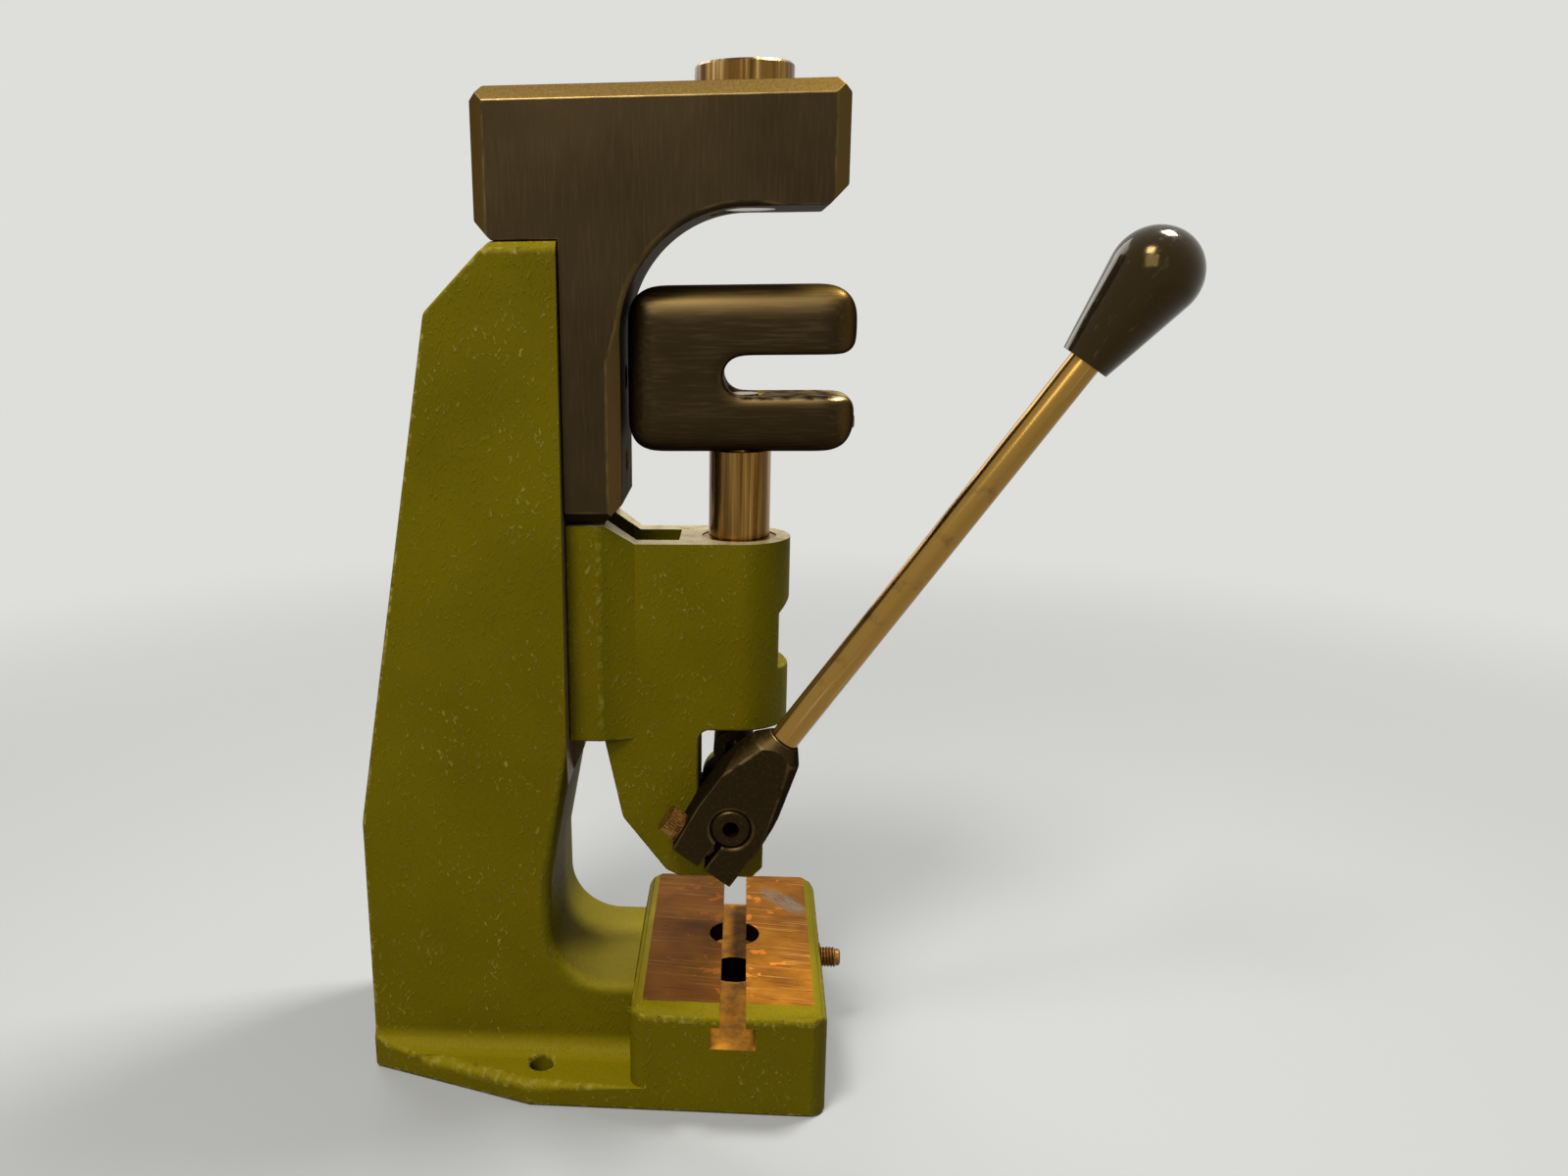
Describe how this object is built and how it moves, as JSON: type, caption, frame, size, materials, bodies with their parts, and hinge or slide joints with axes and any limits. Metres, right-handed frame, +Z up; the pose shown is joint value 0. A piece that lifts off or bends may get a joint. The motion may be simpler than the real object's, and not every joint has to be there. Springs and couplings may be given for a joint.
{
  "type": "toggle press",
  "caption": "Bench toggle press with a cast C-frame, an inverted press head whose ram lifts a slotted fork towards a heavy overhead bracket, a T-slotted bed and a long hand lever.",
  "frame": {"origin": "on the bench under the ram axis: the middle of the die bore at the bottom of the base", "axes": "+X to the press front, +Y away from the lever side, +Z up along the ram"},
  "size_m": [0.3527, 0.1468, 0.4587],
  "materials": {
    "green_paint": "thick olive-green machine enamel brushed on rough castings, rubbed pale and chipped at the edges",
    "black_steel": "black-oxidised milled steel, worn to brown at the edges",
    "bright_steel": "turned and ground bare steel",
    "screw_steel": "dark heat-treated steel",
    "rusty_steel": "bare steel with a brown film of rust",
    "bronze": "turned bearing bronze",
    "grip_plastic": "glossy black moulded plastic"
  },
  "bodies": {
    "frame": {"frame": "green_paint", "top_bracket": "black_steel", "bracket_screws": "screw_steel", "upper_anvil": "bright_steel"},
    "die_screw": {"die_clamp_screw": "rusty_steel"},
    "head": {"head": "green_paint", "ram_bush": "bronze", "shaft_bushes": "bronze", "gib": "screw_steel", "gib_screws": "screw_steel", "thrust_washers": "bright_steel"},
    "lever": {"shaft": "bright_steel", "crank": "black_steel", "crank_key": "bright_steel", "crank_pin": "bright_steel", "retaining_ring": "screw_steel", "lever_hub": "black_steel", "lever_clamp_screw": "rusty_steel", "lever_clamp_washer": "rusty_steel", "lever_rod": "bright_steel", "lever_grip": "grip_plastic"},
    "ram": {"ram": "bright_steel", "wrist_pin": "bright_steel", "fork": "black_steel", "fork_set_screw": "bright_steel"},
    "link": {"link": "black_steel"}
  },
  "joints": [
    {"name": "die_screw_feed", "type": "slide", "parent": "frame", "child": "die_screw", "axis": [1, 0, 0], "range_m": [-0.006, 0]},
    {"name": "head_height", "type": "slide", "parent": "frame", "child": "head", "axis": [0, 0, 1], "range_m": [-0.015, 0]},
    {"name": "lever_turn", "type": "hinge", "parent": "head", "child": "lever", "pos_m": [-0.002, 0, 0.1325], "axis": [0, 1, 0], "range_deg": [0, 70]},
    {"name": "ram_slide", "type": "slide", "parent": "head", "child": "ram", "axis": [0, 0, 1], "range_m": [-0.0218, 0]},
    {"name": "link_turn", "type": "hinge", "parent": "lever", "child": "link", "pos_m": [-0.00137, 0, 0.15749], "axis": [0, 1, 0], "range_deg": [-95.5, 0]}
  ],
  "couplings": [
    {"joint": "ram_slide", "follows": "lever_turn", "m_per_rad": -0.017777},
    {"joint": "link_turn", "follows": "lever_turn", "ratio": -1.3612}
  ]
}
